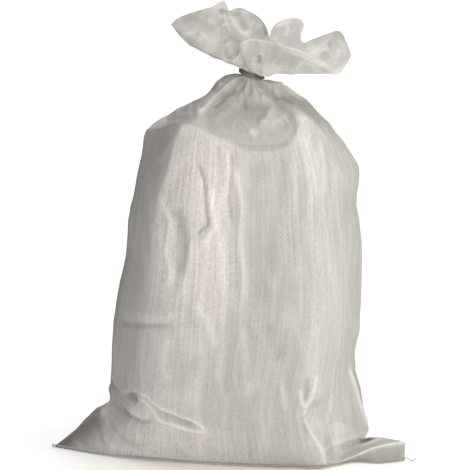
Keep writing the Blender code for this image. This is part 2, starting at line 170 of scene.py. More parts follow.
# Plan points of the body's outline at a few heights: left fold, left, middle, right, right fold (millimetres)
OUTLINE_HEIGHTS = (0, 0.03, 0.07, 0.09, 0.11, 0.15, 0.19, 0.31, 0.43, 0.505, 0.56)
FRONT_OUTLINE = (
    ((-205, 0), (-165, -95), (-20, -125), (127, -148), (200, -45)),
    ((-207, 2), (-160, -106), (-18, -142), (126, -150), (200, -42)),
    ((-210, 3), (-155, -120), (-13, -157), (112, -152), (198, -35)),
    ((-212, 4), (-150, -125), (-10, -163), (101, -151), (197, -30)),
    ((-211, 5), (-145, -130), (-7, -168), (110, -153), (196, -26)),
    ((-208, 7), (-136, -137), (-3, -175), (118, -154), (194, -20)),
    ((-205, 8), (-128, -143), (0, -179), (121, -154), (193, -15)),
    ((-182, 10), (-112, -146), (2, -181), (116, -154), (194, -10)),
    ((-166, 10), (-112, -128), (3, -170), (106, -144), (189, -10)),
    ((-148, 10), (-99, -113), (4, -157), (94, -130), (162, -10)),
    ((-122, 10), (-80, -106), (8, -146), (84, -118), (125, -10)),
)
BACK_OUTLINE = (
    ((-205, 0), (-160, 110), (-20, 146), (125, 112), (200, -45)),
    ((-207, 2), (-160, 113), (-17, 151), (127, 116), (200, -42)),
    ((-210, 3), (-159, 116), (-12, 157), (129, 120), (198, -35)),
    ((-212, 4), (-158, 118), (-10, 160), (130, 122), (197, -30)),
    ((-211, 5), (-156, 120), (-8, 162), (131, 123), (196, -26)),
    ((-208, 7), (-151, 122), (-4, 164), (133, 124), (194, -20)),
    ((-205, 8), (-146, 124), (0, 165), (134, 124), (193, -15)),
    ((-182, 10), (-128, 126), (2, 165), (134, 124), (194, -10)),
    ((-166, 10), (-112, 120), (5, 161), (124, 120), (189, -10)),
    ((-148, 10), (-98, 110), (8, 150), (108, 110), (162, -10)),
    ((-122, 10), (-86, 98), (10, 136), (90, 96), (125, -10)),
)

CAMERA_TILT = math.radians(12)
CAMERA_DISTANCE = 2.6
CAMERA_AIM = (-0.008, 0, 0.3386)
CAMERA_LENS = 124.47

# The studio sheet: half width, front edge, where it starts to curve up, the curve's radius, and its top
SHEET_HALF = 9.0
SHEET_FRONT = -9.0
SHEET_BEND = 3.2
SHEET_RADIUS = 1.2
SHEET_TOP = 6.0

# Weight of each part of the weave in the cloth's tone, and their mean
WEAVE_LINES = 0.55
WEAVE_CHECK = 0.42
WEAVE_TAPES = 0.35
WEAVE_CROSSINGS = 0.45
WEAVE_MEAN = 0.75

# How closely the load backs the front of the cloth, by share of the way from the left fold to the right one;
# where it backs the cloth less, the material paints the cloth darker and greyer: painted shade
FOOT_BACKED = ((0, 0.1, 0.18, 0.3, 0.5, 0.66, 0.74, 1), (0.05, 0.15, 0.75, 0.95, 0.8, 0.45, 0.55, 0.3))
LOW_BACKED = (
    (0, 0.16, 0.27, 0.38, 0.5, 0.66, 0.74, 0.85, 1), (0.1, 0.3, 0.65, 0.65, 0.5, 0.5, 0.75, 0.6, 0.45),
)
HIGH_BACKED = (
    (0, 0.19, 0.275, 0.46, 0.52, 0.66, 0.73, 0.84, 1), (0.1, 0.3, 1, 1, 0.55, 0.45, 0.8, 0.75, 0.4),
)
BACKED_LIFT = ((0, 0.26, 0.29, 0.7, 0.74, 0.86, 1), (-30, -12, 0, 0, 8, 16, 10))
BACKED_FADE = ((0, 0.26, 0.29, 0.7, 0.74, 1), (50, 30, 3, 3, 26, 44))

# Where the weave shows as a check more than as upright tapes
CHECKED_AT = (0, 0.2, 0.3, 0.5, 0.54, 0.64, 0.68, 1)
CHECKED = (0.4, 0.4, 0.15, 0.15, 1, 1, 0.2, 0.3)

# Folds and creases: half width, height (below 0: a valley), painted tone (below 0: painted shade in the
# valleys; above 0: painted highlights, partly the film's own whitening at sharp creases) and the line's x and
# z, all but the tone in millimetres
BODY_FOLDS = (
    (2.3, 3, 1.8, ((-172, 111), (-161, 113), (-149, 111), (-138, 103), (-125, 95), (-105, 90), (-90, 83),
        (-76, 79), (-66, 73), (-57, 64), (-50, 58))),
    (2.3, 3, 1.8, ((-163, 111), (-159, 102), (-148, 99), (-140, 92), (-132, 82), (-127, 74), (-110, 70),
        (-91, 64), (-73, 60), (-60, 59), (-50, 58))),
    (7, -2.5, -0.4, ((-154, 106), (-129, 86), (-101, 78), (-70, 66))),
    (6, -6, -0.8, ((-177, 103), (-171, 98), (-163, 96))),
    (2.8, -2, -0.45, ((-188, 71), (-172, 67), (-153, 66), (-136, 71))),
    (2.8, 2, 0.5, ((-192, 79), (-173, 76), (-157, 73), (-142, 73))),
    (11, 0, 0.6, ((-170, 83), (-151, 76), (-140, 82))),
    (3.5, 3, 0.5, ((-208, 110), (-199, 99), (-185, 99), (-173, 107))),
    (3, 1.5, 0.25, ((-217, 48), (-205, 39), (-188, 25))),
    (2.8, 1.5, 0.35, ((-218, 26), (-208, 19), (-197, 12))),
    (5, -2, -0.3, ((-229, 43), (-225, 31), (-218, 14))),
    (11, 0, -1.5, ((-218, 60), (-233, 57), (-249, 40), (-265, 24), (-281, 10), (-296, 1), (-330, -20))),
    (9, 0, -0.7, ((-219, 55), (-229, 44), (-242, 27), (-256, 11))),
    (5.5, -1.5, -0.45, ((-213, 49), (-195, 35), (-177, 28), (-154, 21))),
    (4, -2.5, -0.35, ((-193, 197), (-155, 220), (-122, 229), (-98, 235))),
    (8, 2.5, 0.2, ((-193, 211), (-155, 234), (-122, 243), (-98, 248))),
    (9, 3, 0.5, ((-105, 215), (-117, 191), (-120, 162), (-111, 137))),
    (3, 2.8, 1.3, ((117, 154), (112, 132), (106, 111), (100, 99))),
    (3.2, 2.8, 1.2, ((90, 134), (95, 106), (100, 99), (97, 84))),
    (2.6, 4, 1.6, ((97, 84), (108, 60), (119, 43), (127, 29), (132, 2))),
    (4.5, -2.5, -0.45, ((101, 150), (102, 126), (98, 109))),
    (4, 2, 0.35, ((146, 108), (141, 81), (135, 64))),
    (2.4, 3.4, 1.3, ((172, 135), (184, 100), (193, 70), (202, 44), (205, 29))),
    (4.5, -3, -0.6, ((185, 128), (194, 96), (202, 68), (207, 45))),
    (4.5, 2, 0.3, ((195, 21), (167, 26), (142, 28), (127, 26))),
    (14, 0, -0.6, ((150, -2), (190, 8), (270, 16))),
    (2.8, -2.4, -0.7, ((-66, 483), (-56, 458), (-53, 440), (-52, 411), (-48, 389), (-60, 380), (-70, 365))),
    (4.5, 2.4, 0.35, ((-47, 450), (-44, 411), (-40, 389), (-50, 372), (-62, 352))),
    (4.5, 2.2, 0.6, ((-8, 479), (-5, 450), (2, 421), (-1, 369), (4, 308), (3, 260))),
    (4.5, 3, 0.8, ((-123, 430), (-117, 410), (-106, 388), (-113, 345), (-106, 309), (-113, 285))),
    (11, -3, -0.6, ((-103, 413), (-94, 393), (-87, 367), (-85, 342), (-93, 305))),
    (4.5, 2.5, 0.5, ((-73, 368), (-78, 335), (-86, 296), (-89, 273))),
    (3, -2, -0.4, ((-13, 501), (-15, 464), (-18, 428), (-14, 391))),
    (20, -3, -0.3, ((30, 490), (36, 440), (36, 353), (36, 260))),
    (4, 2.5, 0.5, ((77, 499), (82, 440), (86, 381), (90, 290), (93, 228))),
    (4, 1.5, 0.2, ((97, 518), (102, 453), (105, 386))),
    (4, -1, -0.15, ((89, 498), (92, 439), (95, 380))),
    (3, -1.5, -0.25, ((60, 500), (65, 470), (68, 434))),
    (4, 2, 0.4, ((125, 506), (129, 463), (127, 420))),
    (6, 2, 0.4, ((-76, 274), (-53, 245), (-38, 198))),
    (6, 2, 0.4, ((4, 231), (6, 167), (9, 117))),
    (4, 2, 0.5, ((62, 140), (66, 115), (67, 94))),
    (14, 0, -0.35, ((39, 243), (54, 206), (62, 179))),
    (20, 0, 0.4, ((-94, 229), (-79, 204), (-67, 181))),
)
SHOULDER_FOLDS = (
    (2.6, 2.8, 0.7, ((-24, 586), (-38, 575), (-50, 564), (-63, 557), (-72, 548))),
    (5.5, -3.5, -0.5, ((-33, 583), (-52, 567), (-69, 555), (-80, 548))),
    (3.2, 3.5, 0.8, ((0, 593), (-22, 579), (-42, 565), (-55, 554), (-69, 544))),
    (4, -3, -0.4, ((-6, 582), (-25, 569), (-43, 555))),
    (3.2, -3.4, -0.5, ((11, 592), (4, 580), (6, 566), (8, 550))),
    (4, 3.5, 0.5, ((17, 591), (18, 580), (26, 569), (40, 566))),
    (6.5, 3, 0.35, ((27, 568), (44, 564), (48, 554), (40, 541), (25, 531))),
    (6.5, 3.5, 0.8, ((49, 576), (66, 579))),
    (3, -2.5, -0.4, ((46, 568), (65, 568), (85, 557))),
    (7, 2, 0.35, ((9, 521), (27, 529), (49, 536), (73, 544))),
    (5, 1.5, 0.35, ((11, 527), (19, 520), (24, 512))),
    (2.2, 1.2, 0.5, ((-11, 561), (0, 554))),
    (2.2, 1.2, 0.5, ((66, 542), (73, 534))),
    (20, 0, -0.45, ((-56, 535), (-25, 540), (12, 544), (45, 549))),
    (12, 0, -0.6, ((-138, 510), (-108, 529), (-74, 550))),
    (3.2, 2.2, 0.9, ((-141, 511), (-127, 519), (-114, 527))),
    (2.6, 1.8, 0.8, ((-102, 537), (-90, 544))),
)
FLAP_FOLDS = (
    (2.2, 2, 1, ((-17, 703), (-11, 684), (0, 667), (12, 658))),
    (2, 1.5, 0.8, ((-26, 696), (-22, 681), (-13, 664))),
    (2.2, 2, 0.9, ((-36, 690), (-25, 693), (-14, 687))),
    (2.2, 2, 0.8, ((-29, 676), (-17, 681), (-6, 673))),
    (3, -2, -0.9, ((-33, 698), (-25, 699))),
    (9, 0, -0.5, ((-93, 683), (-69, 687), (-46, 684))),
    (6, 0, -0.5, ((-99, 670), (-81, 654), (-62, 642))),
    (11, 3, 0.45, ((-67, 663), (-43, 655), (-28, 648))),
    (10, 0, 1, ((-20, 652), (-14, 639), (-11, 631))),
    (10, 2, 0.8, ((-31, 623), (-13, 622), (6, 618))),
    (2.8, -3, -0.9, ((29, 634), (29, 626), (27, 620))),
    (4, 2.5, 0.5, ((21, 633), (19, 625), (18, 616))),
    (8, 0, 0.8, ((33, 603), (45, 605), (64, 607))),
    (8, -2, -0.3, ((45, 633), (62, 624), (80, 614))),
    (6, 3, 0.3, ((33, 622), (53, 618), (76, 615))),
    (12, 0, -0.35, ((45, 646), (72, 636), (95, 623))),
)
LOBE_FOLDS = (
    (6.5, 0, -0.7, ((-6, 691), (2, 674), (11, 658))),
    (12, -2, -0.7, ((19, 663), (35, 657), (44, 651))),
    (10, 2, -0.3, ((16, 684), (35, 669), (48, 652))),
    (2.8, 2, 0.7, ((72, 673), (78, 664), (73, 653))),
    (3, 1.5, 0.5, ((59, 667), (65, 671), (84, 675))),
    (2.2, 0, 0.7, ((152, 652), (161, 639), (162, 625), (152, 612))),
    (2.2, 1.2, 0.4, ((153, 638), (157, 633))),
    (11, -1, -0.25, ((125, 642), (142, 625), (152, 614))),
    (8, 2, 0.3, ((101, 638), (122, 637), (142, 642))),
)


def smooth(low, high, value):
    """From 0 at low to 1 at high, with a soft start and end."""
    share = np.clip((value - low) / (high - low), 0, 1)
    return share * share * (3 - 2 * share)


def mix(start, end, share):
    return start + (end - start) * share


def through(stations, points, at):
    """A smooth curve through points at the given stations."""
    stations = np.asarray(stations, float)
    points = np.asarray(points, float)
    at = np.clip(np.asarray(at, float), stations[0], stations[-1])
    gaps = np.diff(stations)[:, None]
    slopes = np.diff(points, axis=0) / gaps
    tangents = np.empty_like(points)
    tangents[0] = slopes[0]
    tangents[-1] = slopes[-1]
    tangents[1:-1] = (slopes[:-1] * gaps[1:] + slopes[1:] * gaps[:-1]) / (gaps[1:] + gaps[:-1])
    index = np.clip(np.searchsorted(stations, at, side="right") - 1, 0, len(gaps) - 1)
    gap = gaps[index, 0]
    t = ((at - stations[index]) / gap)[:, None]
    gap = gap[:, None]
    return (
        (2 * t**3 - 3 * t**2 + 1) * points[index]
        + (t**3 - 2 * t**2 + t) * gap * tangents[index]
        + (3 * t**2 - 2 * t**3) * points[index + 1]
        + (t**3 - t**2) * gap * tangents[index + 1]
    )


def running(steps):
    """The running sum of steps, from 0."""
    return np.concatenate([[0], np.cumsum(steps)])


def spans(points):
    """The lengths between points that follow each other."""
    return np.linalg.norm(np.diff(points, axis=0), axis=1)


def between(at, stations, points):
    """Points on the straight lines between points at the given stations."""
    return np.stack([np.interp(at, stations, column) for column in points.T], axis=1)


def resampled(points, count):
    """Points along a smooth curve through the given ones, evenly spaced; columns past the third go along."""
    points = np.asarray(points, float)
    stations = running(np.maximum(spans(points[:, :3]), 1e-6))
    dense = through(stations, points, np.linspace(0, stations[-1], DENSE))
    along = running(spans(dense[:, :3]))
    return between(np.linspace(0, along[-1], count), along, dense)


def climb(share):
    """How high a body row lies, by its share of the rows, which are closer together near the foot."""
    return np.where(share > 0, share * (0.65 + 0.35 * share), share)


def half_outline(side, height):
    """One half of the body's horizontal outline, from the left fold to the right one."""
    table = np.array((FRONT_OUTLINE, BACK_OUTLINE)[side]) / 1000
    count = table.shape[1]
    points = through(OUTLINE_HEIGHTS, table.reshape(len(table), -1), [height])[0].reshape(count, 2)
    points[0, 0] = -np.interp(height, LEFT_HEIGHTS, LEFT_EDGE)
    points[-1, 0] = np.interp(height, RIGHT_HEIGHTS, RIGHT_EDGE)
    stations = running(spans(points) ** 0.8)
    at = np.linspace(0, stations[-1], DENSE)
    rounded = through(stations, points, at)
    if side == 1:
        return rounded
    flat = 0.75 * (1 - smooth(0.10, 0.20, height)) * smooth(0.4, 0.6, at / stations[-1])
    return mix(rounded, between(at, stations, points), flat[:, None])


LEVELS = np.linspace(0, OUTLINE_HEIGHTS[-1], 113)
SAMPLES = 161


def halves():
    """For each level, the front and the back half of the outline, evenly spaced by length."""
    table = np.empty((2, len(LEVELS), SAMPLES, 2))
    for row, height in enumerate(LEVELS):
        for side in (0, 1):
            points = half_outline(side, height)
            along = running(spans(points))
            table[side, row] = between(np.linspace(0, along[-1], SAMPLES), along, points)
    return table


OUTLINES = halves()


def on_body(side, share, height):
    """The plan point on the body, by share of the half outline from the left fold to the right one."""
    row = np.clip(np.asarray(height) / LEVELS[1], 0, len(LEVELS) - 1.001)
    column = np.clip(np.asarray(share) * (SAMPLES - 1), 0, SAMPLES - 1.001)
    r, c = row.astype(int), column.astype(int)
    fr, fc = (row - r)[..., None], (column - c)[..., None]
    t = OUTLINES[side]
    return (t[r, c] * (1 - fc) + t[r, c + 1] * fc) * (1 - fr) + (
        t[r + 1, c] * (1 - fc) + t[r + 1, c + 1] * fc
    ) * fr


def seam_point(distance):
    return through(SEAM_AT, SEAM, np.atleast_1d(distance))


def foot_controls(side, distance):
    """The points that lead the cloth from the bottom seam to the body, for one column."""
    share = distance / WIDE
    x, y = seam_point(distance)[0]
    start = np.array((x, y, CLEARANCE))
    join_height = mix(0.069, 0.062, smooth(0.1, 0.4, distance))
    join_height = mix(join_height, 0.026, smooth(0.50, 0.59, distance))
    join = np.array((*on_body(side, share, join_height), join_height))
    if side == 0:
        plain = np.array([mix(start, join, k) for k in (0.25, 0.5, 0.75)])
        plain[:, 1] -= (0.004, 0.006, 0.004)
        lines = zip(CORNER_LINES, RIGHT_FOLD)
        bent = np.array([through(CORNER_AT, (*line, end), [distance])[0] for line, end in lines])
        plain = mix(plain, bent, smooth(0.435, 0.475, distance))
    else:
        fx, fy = on_body(side, share, 0.0)
        inset = 1 - 0.035 / math.hypot(fx, fy)
        floor = np.array((fx * inset, fy * inset, 0.001))
        corner = np.array((fx * mix(inset, 1, 0.75), fy * mix(inset, 1, 0.75), 0.012))
        plain = np.array((mix(start, floor, 0.5), floor, corner))
        plain[0, 2] = 0.001
        apart = smooth(0.0, np.array(((0.10,), (0.05,), (0.045,))), WIDE - distance)
        plain = mix(plain, RIGHT_FOLD, 1 - apart)
    plain = mix(plain, LEFT_FOLD, math.exp(-((distance / 0.055) ** 2)))
    above = on_body(side, share, join_height + 0.03)
    return np.array([start, *plain, join, (above[0], above[1], join_height + 0.03)]), join_height


def foot_rows(side, distance):
    """One column from the bottom seam to the body: a smooth curve, sharper near the two corners."""
    controls, join_height = foot_controls(side, distance)
    whole = resampled(controls, DENSE)
    along = running(spans(controls))
    creased = between(np.linspace(0, along[-1], DENSE), along, controls)
    right = smooth((0.46, 0.54)[side], (0.52, 0.60)[side], distance)
    whole = mix(whole, creased, max(float(right), 0.7 * math.exp(-((distance / 0.05) ** 2))))
    last = int(np.argmin(np.linalg.norm(whole - controls[-2], axis=1)))
    rows = between(np.linspace(0, last, FOOT_ROWS + 1)[:-1], np.arange(DENSE), whole)
    rows[:, 2] = np.maximum(rows[:, 2], CLEARANCE)
    return rows, join_height


def crest_row(distance):
    """The row on the ridge of the right corner's fold."""
    steps = spans(foot_controls(0, distance)[0][:5])
    return FOOT_ROWS * steps[0] / steps.sum()


def neck_level(angle, offset):
    return NECK[2] + offset - TIE_SLOPE * NECK_RADIUS * np.cos(angle)


def pleats(angle):
    """Gathered cloth at the neck: many uneven folds."""
    return 0.6 * np.sin(13 * angle + 0.6) + 0.4 * np.sin(21 * angle + 2.0)


def mouth_curve():
    """The hem's place and tones for every column."""
    back = (MOUTH_FRONT[-1], *MOUTH_BACK, MOUTH_FRONT[0])
    units = (1000, 1000, 1000, 1, 1)
    parts = [
        resampled(np.array(points) / units, count + 1)[:-1]
        for points, count in ((MOUTH_FRONT, HALF), (back, COLUMNS - HALF))
    ]
    return np.concatenate(parts)


def cloth_points():
    """The whole sack as rows from the bottom seam to the hem, by columns round it."""
    grid = np.empty((ROWS, COLUMNS, 3))
    mouth = mouth_curve()
    for column in range(COLUMNS):
        side = 0 if column <= HALF else 1
        distance = DISTANCE[column]
        share = distance / WIDE
        foot, join_height = foot_rows(side, distance)
        at = (FRONT_AT, BACK_AT)[side]
        rim = float(through(at, np.array((RIM_FRONT, RIM_BACK)[side])[:, None], [share])[0, 0])
        power = float(np.interp(share, at, (ROUND_FRONT, ROUND_BACK)[side]))
        edge = on_body(side, share, rim)
        angle = math.atan2(edge[1] - NECK[1], edge[0] - NECK[0])
        heights = mix(join_height, rim, climb(np.linspace(0, 1, BODY_ROWS + 1)[:-1]))
        body = on_body(side, np.full(BODY_ROWS, share), heights)
        body = np.column_stack([body[:, 0], body[:, 1], heights])
        out = np.linspace(1, 0, SHOULDER_ROWS + 1)[:-1]
        rise = neck_level(angle, -NECK_HALF) - rim
        direction = np.array((math.cos(angle), math.sin(angle)))
        base = NECK[:2] + (NECK_RADIUS + PLEAT * pleats(angle)) * direction
        plan = base + (edge - base) * out[:, None]
        up = mix(np.interp(out, NECKED_OUT, NECKED_UP), 1 - out**power, smooth(0.10, 0.32, share))
        shoulder = np.column_stack([plan, rim + rise * up])
        levels = neck_level(angle, 0) + np.linspace(-NECK_HALF, NECK_HALF, NECK_ROWS)
        neck = np.column_stack([np.tile(base, (NECK_ROWS, 1)), levels])
        start = np.array((*base, neck_level(angle, NECK_HALF)))
        end = mouth[column, :3]
        t = np.linspace(0, 1, RUFFLE_ROWS + 1)[1:, None]
        bulge = float(np.interp(distance, SWELL_AT, (SWELL_FRONT, SWELL_BACK)[side]))
        middle = mix(start, end, 0.6)
        middle[2] = mix(start[2], end[2], bulge)
        ruffle = (1 - t) ** 2 * start + 2 * t * (1 - t) * middle + t**2 * end
        grid[:, column] = np.concatenate([foot, body, shoulder, neck, ruffle])
    part = grid[JOIN_ROWS]
    near = np.exp(-(((np.arange(JOIN_ROWS.start, JOIN_ROWS.stop) - FOOT_ROWS) / 4.0) ** 2))[:, None]
    near = near * smooth(0.14, 0.06, DISTANCE)
    for _ in range(JOIN_PASSES):
        part[1:-1] += 0.9 * near[1:-1, :, None] * (0.5 * (part[:-2] + part[2:]) - part[1:-1])
    return grid


def outward(grid):
    """The cloth's unit normals, pointing out of the sack."""
    across = np.roll(grid, -1, axis=1) - np.roll(grid, 1, axis=1)
    up = np.gradient(grid, axis=0)
    normal = np.cross(across, up)
    return normal / np.maximum(np.linalg.norm(normal, axis=2, keepdims=True), 1e-12)


def beside(points, line):
    """Each point's distance from a broken line, and the share of the line up to its nearest place."""
    lengths = spans(line)
    before = running(lengths)
    best = np.full(points.shape[:-1], 9.0)
    share = np.zeros(points.shape[:-1])
    for index, length in enumerate(lengths):
        step = (line[index + 1] - line[index]) / length
        offset = points - line[index]
        along = np.clip(offset @ step, 0, length)
        gap = np.linalg.norm(offset - along[..., None] * step, axis=-1)
        nearer = gap < best
        best = np.where(nearer, gap, best)
        share = np.where(nearer, (before[index] + along) / before[-1], share)
    return best, share


def rough(grid, scale, seed):
    """Seeded noise at every point of the cloth, by its frequency along and up the cloth."""
    points = grid.reshape(-1, 3) * (scale[0], scale[0], scale[1]) + (0, 0, seed)
    values = [noise.noise(Vector(point)) for point in points.tolist()]
    return np.array(values).reshape(grid.shape[:2])


def crumpled(grid, scale, seed):
    """Noise with sharp ridges, like film that has been crumpled: from 0 on the flats to 1 on the ridges."""
    return np.clip(1 - 3 * np.abs(rough(grid, scale, seed)), 0, 1)


def shaped(grid):
    """The cloth with its creases, pleats and small wrinkles, and the tone painted on it: painted highlights
    and shade along them and at the hem, the rim and the corners.
    """
    row = np.arange(ROWS)[:, None]
    up = (row - RIM_ROW) / SHOULDER_ROWS
    out = (row - RUFFLE_ROW) / RUFFLE_ROWS
    on_body_rows = smooth(4, 30, row) * (1 - smooth(RIM_ROW - 6, RIM_ROW, row))
    on_shoulder = (row >= RIM_ROW) * (row < NECK_ROW)
    on_ruffle = row >= RUFFLE_ROW
    move = np.zeros((ROWS, COLUMNS))
    tone = np.zeros((ROWS, COLUMNS))
    front = grid[:, :, (0, 2)]
    for folds, where in (
        (BODY_FOLDS, (row < RIM_ROW) * ON_FRONT),
        (SHOULDER_FOLDS, on_shoulder * ON_FRONT),
        (FLAP_FOLDS, on_ruffle * ON_FRONT),
        (LOBE_FOLDS, on_ruffle * (1 - ON_FRONT)),
    ):
        # Each fold moves the cloth and paints tone along it: painted shade where the tone is below 0, painted
        # highlight where it is above
        for width, height, shade, line in folds:
            gap, share = beside(front, np.array(line) / 1000)
            shape = np.exp(-((gap / (width / 1000)) ** 2))
            shape = shape * smooth(0, 0.12, share) * smooth(0, 0.12, 1 - share) * where
            move += height / 1000 * shape
            tone += shade * shape
    # Crumples, pleats and small wrinkles: the tone added with them paints highlights on their ridges and
    # shade between; the paler crumple crests are partly the film's own whitening at creases
    ridges = crumpled(grid, (34, 9), 3.0)
    move += 0.0016 * (ridges - 0.4) * on_body_rows
    tone += 0.25 * (ridges - 0.4) * on_body_rows
    move += 0.0022 * rough(grid, (16, 6), 9.0) * on_body_rows
    angle = np.arctan2(grid[:, :, 1] - NECK[1], grid[:, :, 0] - NECK[0])
    fold = 0.5 * np.sin(13 * angle + 0.6) + 0.3 * np.sin(21 * angle + 2.0) + 0.4 * np.sin(7 * angle + 1.1)
    gathered = on_shoulder * smooth(0.45, 0.85, up) * (1 - smooth(0.93, 1.0, up))
    move += 0.0030 * fold * gathered
    tone += 0.25 * fold * gathered
    loose = on_shoulder * smooth(0, 0.15, up) * (1 - smooth(0.8, 1, up))
    loose = loose + 0.6 * smooth(40, 10, row) * smooth(0.17, 0.05, DISTANCE)
    move += 0.0018 * (crumpled(grid, (26, 26), 5.0) - 0.4) * loose
    tone += 0.25 * smooth(0.5, 1.0, crumpled(grid, (48, 48), 15.0)) * loose
    gathered = on_ruffle * smooth(0.02, 0.15, out) * (1 - smooth(0.2, 0.6, out))
    move += 0.0022 * fold * gathered
    tone += 0.35 * fold * gathered
    soft = on_ruffle * smooth(0.1, 0.4, out)
    move += 0.0018 * (crumpled(grid, (24, 24), 7.0) - 0.4) * soft
    tone += 0.35 * (smooth(0.4, 1.0, crumpled(grid, (30, 30), 17.0)) - 0.3) * soft
    moved = grid + outward(grid) * move[..., None]
    moved[:, :, 2] = np.maximum(moved[:, :, 2], CLEARANCE)
    left = np.linalg.norm(grid[-1] - grid, axis=2)
    # Painted shade and highlights along the hem's edge and on its band, from the mouth's tones
    edge, band = mouth_curve()[:, 3:].T
    tone += edge * smooth(0.0030, 0.0010, left) * on_ruffle + band * smooth(0.0120, 0.0095, left) * on_ruffle
    # A painted highlight along the front of the load's rim, and a painted shadow just under it, where the rim
    # overhangs
    rim = np.exp(-(((row - RIM_ROW) / 0.9) ** 2)) * ON_FRONT
    under = np.exp(-(((row - RIM_ROW + 0.6) / 0.9) ** 2)) * ON_FRONT
    tone += 0.5 * rim * smooth(0.29, 0.33, SHARE) * smooth(0.50, 0.44, SHARE)
    tone -= 0.6 * under * smooth(0.46, 0.54, SHARE) * smooth(0.69, 0.65, SHARE)
    # On the right corner's fold: a painted highlight along its crest, painted shade on the facet behind it,
    # and painted light on the shaded facet further up
    crest = np.array([crest_row(distance) for distance in DISTANCE])
    corner = smooth(0.455, 0.50, DISTANCE) * ON_FRONT
    tone += 1.6 * corner * np.exp(-(((row - crest) / 0.9) ** 2))
    facet = smooth(0.50, 0.56, DISTANCE) * ON_FRONT * smooth(crest + 1, crest + 3, row)
    tone -= 0.45 * facet * smooth(30, 24, row)
    tone += 0.7 * corner * smooth(crest + 8, crest + 16, row) * smooth(50, 44, row)
    # A paler line along the join near the left corner; painted shade along the left fold; painted light on
    # the upper front shoulder, which lies in the shade of the gathers and the ruffle; the ruffle painted
    # darker, as shade
    tone += 0.4 * np.exp(-(((row - FOOT_ROWS - 0.5) / 1.6) ** 2)) * smooth(0.13, 0.06, DISTANCE) * ON_FRONT
    tone -= 0.6 * smooth(0.035, 0.0, SHARE) * smooth(20, 50, row) * smooth(RIM_ROW, RIM_ROW - 20, row)
    tone += 0.75 * on_shoulder * smooth(0.45, 0.70, up) * ON_FRONT * smooth(0.30, 0.42, SHARE)
    tone -= 0.18 * on_ruffle
    # On the lower corners the back takes the front's painted light and shade
    ahead, behind = DISTANCE[: HALF + 1], DISTANCE[HALF + 1 :]
    for low in tone[:EAR_ROWS]:
        same = np.interp(behind, ahead, low[: HALF + 1])
        low[HALF + 1 :] = mix(low[HALF + 1 :], same, smooth(0.07, 0.05, behind))
    return moved, np.clip(tone, -1.5, 1)


def backing():
    """How closely the load backs the cloth, from 0, loose and thin, to 1, pressed against it;
    the material paints loose cloth darker, as painted shade, and lets more light through it.
    """
    row = np.arange(ROWS)[:, None]

    def sided(front, back):
        return np.where(ON_FRONT > 0, np.interp(SHARE, *front), np.interp(SHARE, (0, 0.15, 0.85, 1), back))

    foot = sided(FOOT_BACKED, (0.05, 0.30, 0.30, 0.30))
    low = sided(LOW_BACKED, (0.10, 0.45, 0.45, 0.45))
    high = sided(HIGH_BACKED, (0.10, 0.60, 0.60, 0.40))
    level = climb((row - FOOT_ROWS) / BODY_ROWS)
    below = mix(foot, low, smooth(-0.5, 0.25, level))
    backed = np.where(level < 0.25, below, mix(low, high, smooth(0.25, 0.60, level)))
    lift = sided(BACKED_LIFT, (-30, 0, 0, 10))
    fade = sided(BACKED_FADE, (50, 12, 12, 44))
    return backed * (1 - smooth(RIM_ROW + lift - fade / 2, RIM_ROW + lift + fade / 2, row))


def checked():
    """How much the weave shows as a check at every point."""
    shown = np.interp(SHARE * ON_FRONT, CHECKED_AT, CHECKED)
    return shown * smooth(20, 110, np.arange(ROWS))[:, None]


def cloth_mesh(grid, tone):
    """The cloth's mesh, with its own length and width as UV, and what its material needs at every point."""
    rows, columns = grid.shape[:2]
    index = np.arange(rows * columns).reshape(rows, columns)
    beyond = np.roll(index, -1, axis=1)
    faces = np.stack([index[:-1], beyond[:-1], beyond[1:], index[1:]], axis=-1).reshape(-1, 4)
    mesh = bpy.data.meshes.new("sack_cloth")
    mesh.from_pydata(grid.reshape(-1, 3).tolist(), [], faces.tolist())
    steps = np.linalg.norm(np.diff(grid, axis=0), axis=2)
    along = np.concatenate([np.zeros((1, columns)), np.cumsum(steps, axis=0)])
    uv = mesh.uv_layers.new(name="cloth")
    around = np.tile(AROUND, (rows, 1))
    nearer = np.roll(around, -1, axis=1)
    nearer[:, -1] = GIRTH
    after = np.roll(along, -1, axis=1)
    corners = np.stack(
        [
            np.stack([around[:-1], along[:-1]], -1),
            np.stack([nearer[:-1], after[:-1]], -1),
            np.stack([nearer[1:], after[1:]], -1),
            np.stack([around[1:], along[1:]], -1),
        ],
        axis=2,
    )
    uv.data.foreach_set("uv", corners.reshape(-1))
    # pale and dark carry painted highlights and painted shade; backed also darkens loose cloth's colour as
    # painted shade
    for name, values in (
        ("backed", backing()),
        ("checked", checked()),
        ("pale", np.maximum(tone, 0)),
        ("dark", np.maximum(-tone, 0)),
    ):
        layer = mesh.attributes.new(name, "FLOAT", "POINT")
        layer.data.foreach_set("value", values.reshape(-1))
    mesh.shade_smooth()
    return mesh


def add(name, mesh):
    made = bpy.data.objects.new(name, mesh)
    bpy.context.scene.collection.objects.link(made)
    return made


def ring_faces(rings, sides):
    """The faces between closed rings of points that follow each other."""
    faces = []
    for here in range(0, (rings - 1) * sides, sides):
        for side in range(sides):
            after = (side + 1) % sides
            faces.append((here + side, here + after, here + sides + after, here + sides + side))
    return faces


def load_inset(side, share, height):
    """How far inside the body's outline the load lies: further in near the floor and at the two folds."""
    inset = 0.0055 + 0.032 * (1 - smooth(-0.004, 0.026, height))
    inset += side * 0.045 * smooth(0.36, 0.12, share) * smooth(0.085, 0.040, height)
    inset += side * 0.015 * smooth(0.055, 0.030, height)
    inset += 0.050 * smooth(0.12, 0.04, share) * smooth(0.095, 0.060, height)
    return inset + 0.055 * smooth(0.84, 0.94, share) * smooth(0.050, 0.025, height)


